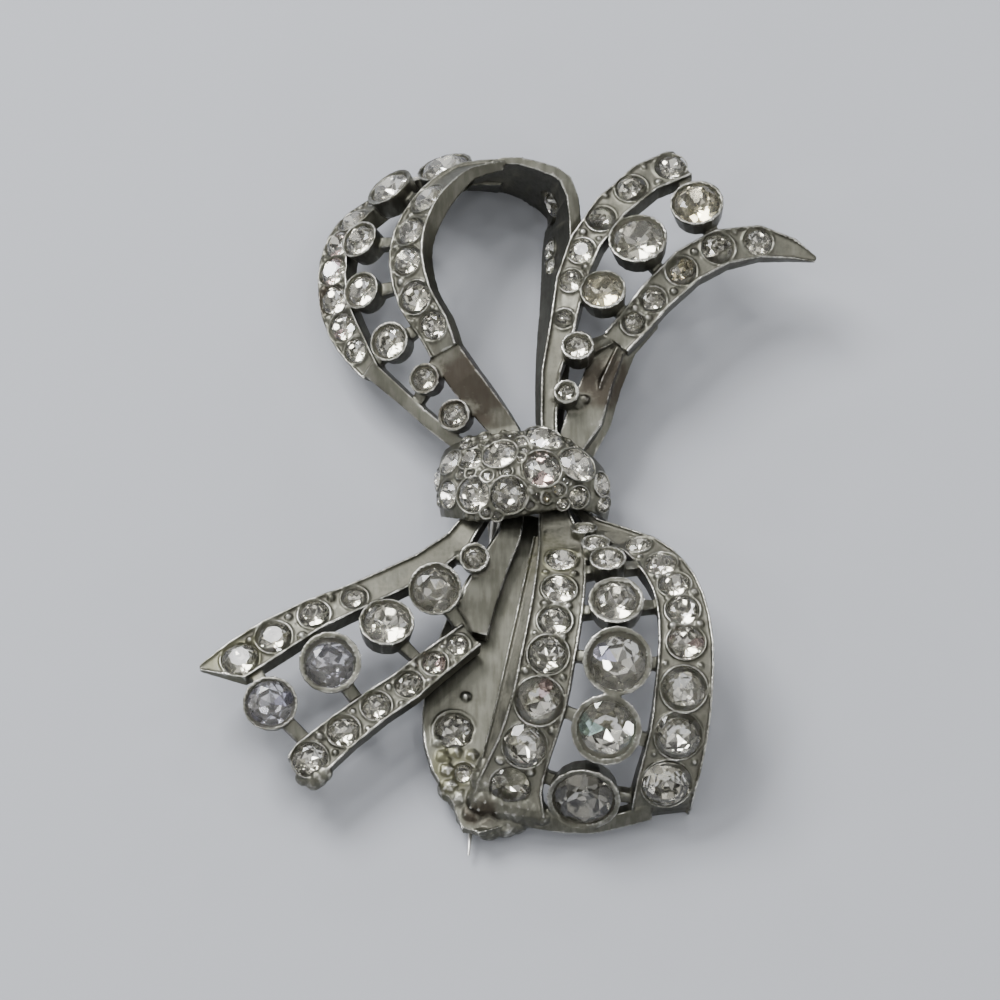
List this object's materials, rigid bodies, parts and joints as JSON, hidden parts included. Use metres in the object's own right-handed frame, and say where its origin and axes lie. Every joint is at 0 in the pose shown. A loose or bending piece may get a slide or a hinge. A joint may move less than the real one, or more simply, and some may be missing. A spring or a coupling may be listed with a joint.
{
  "type": "bow brooch",
  "caption": "Ribbon bow brooch: two loops, two tails and a knot of grey cast metal, set with round clear stones, with a pin stem and catch behind.",
  "frame": {"origin": "middle of the bounding box's underside, on the surface that the brooch lies on", "axes": "+X to the right as the picture shows it, +Y from the lower loop to the upper loop, +Z out of the brooch's front"},
  "size_m": [0.0557, 0.0692, 0.0133],
  "materials": {
    "cast_metal": "worn rhodium-grey casting, tarnished in the recesses",
    "pin_metal": "drawn grey wire and plate",
    "stone": "cut clear glass with a foiled back"
  },
  "bodies": {
    "root": {"upper_loop": "cast_metal", "upper_tail": "cast_metal", "knot": "cast_metal", "lower_tail": "cast_metal", "lower_loop": "cast_metal", "pin": "pin_metal", "upper_loop_pave": "stone", "upper_tail_pave": "stone", "knot_pave": "stone", "lower_tail_pave": "stone", "lower_loop_pave": "stone", "upper_loop_stone_1": "stone", "upper_loop_stone_2": "stone", "upper_loop_stone_3": "stone", "upper_loop_stone_4": "stone", "upper_loop_stone_5": "stone", "upper_loop_stone_6": "stone", "upper_loop_stone_7": "stone", "upper_tail_stone_1": "stone", "upper_tail_stone_2": "stone", "upper_tail_stone_3": "stone", "upper_tail_stone_4": "stone", "upper_tail_stone_5": "stone", "knot_stone_1": "stone", "knot_stone_2": "stone", "knot_stone_3": "stone", "knot_stone_4": "stone", "knot_stone_5": "stone", "knot_stone_6": "stone", "knot_stone_7": "stone", "lower_tail_stone_1": "stone", "lower_tail_stone_2": "stone", "lower_tail_stone_3": "stone", "lower_tail_stone_4": "stone", "lower_tail_stone_5": "stone", "lower_loop_stone_1": "stone", "lower_loop_stone_2": "stone", "lower_loop_stone_3": "stone", "lower_loop_stone_4": "stone", "lower_loop_stone_5": "stone", "lower_loop_stone_6": "stone", "lower_loop_stone_7": "stone"}
  },
  "joints": []
}
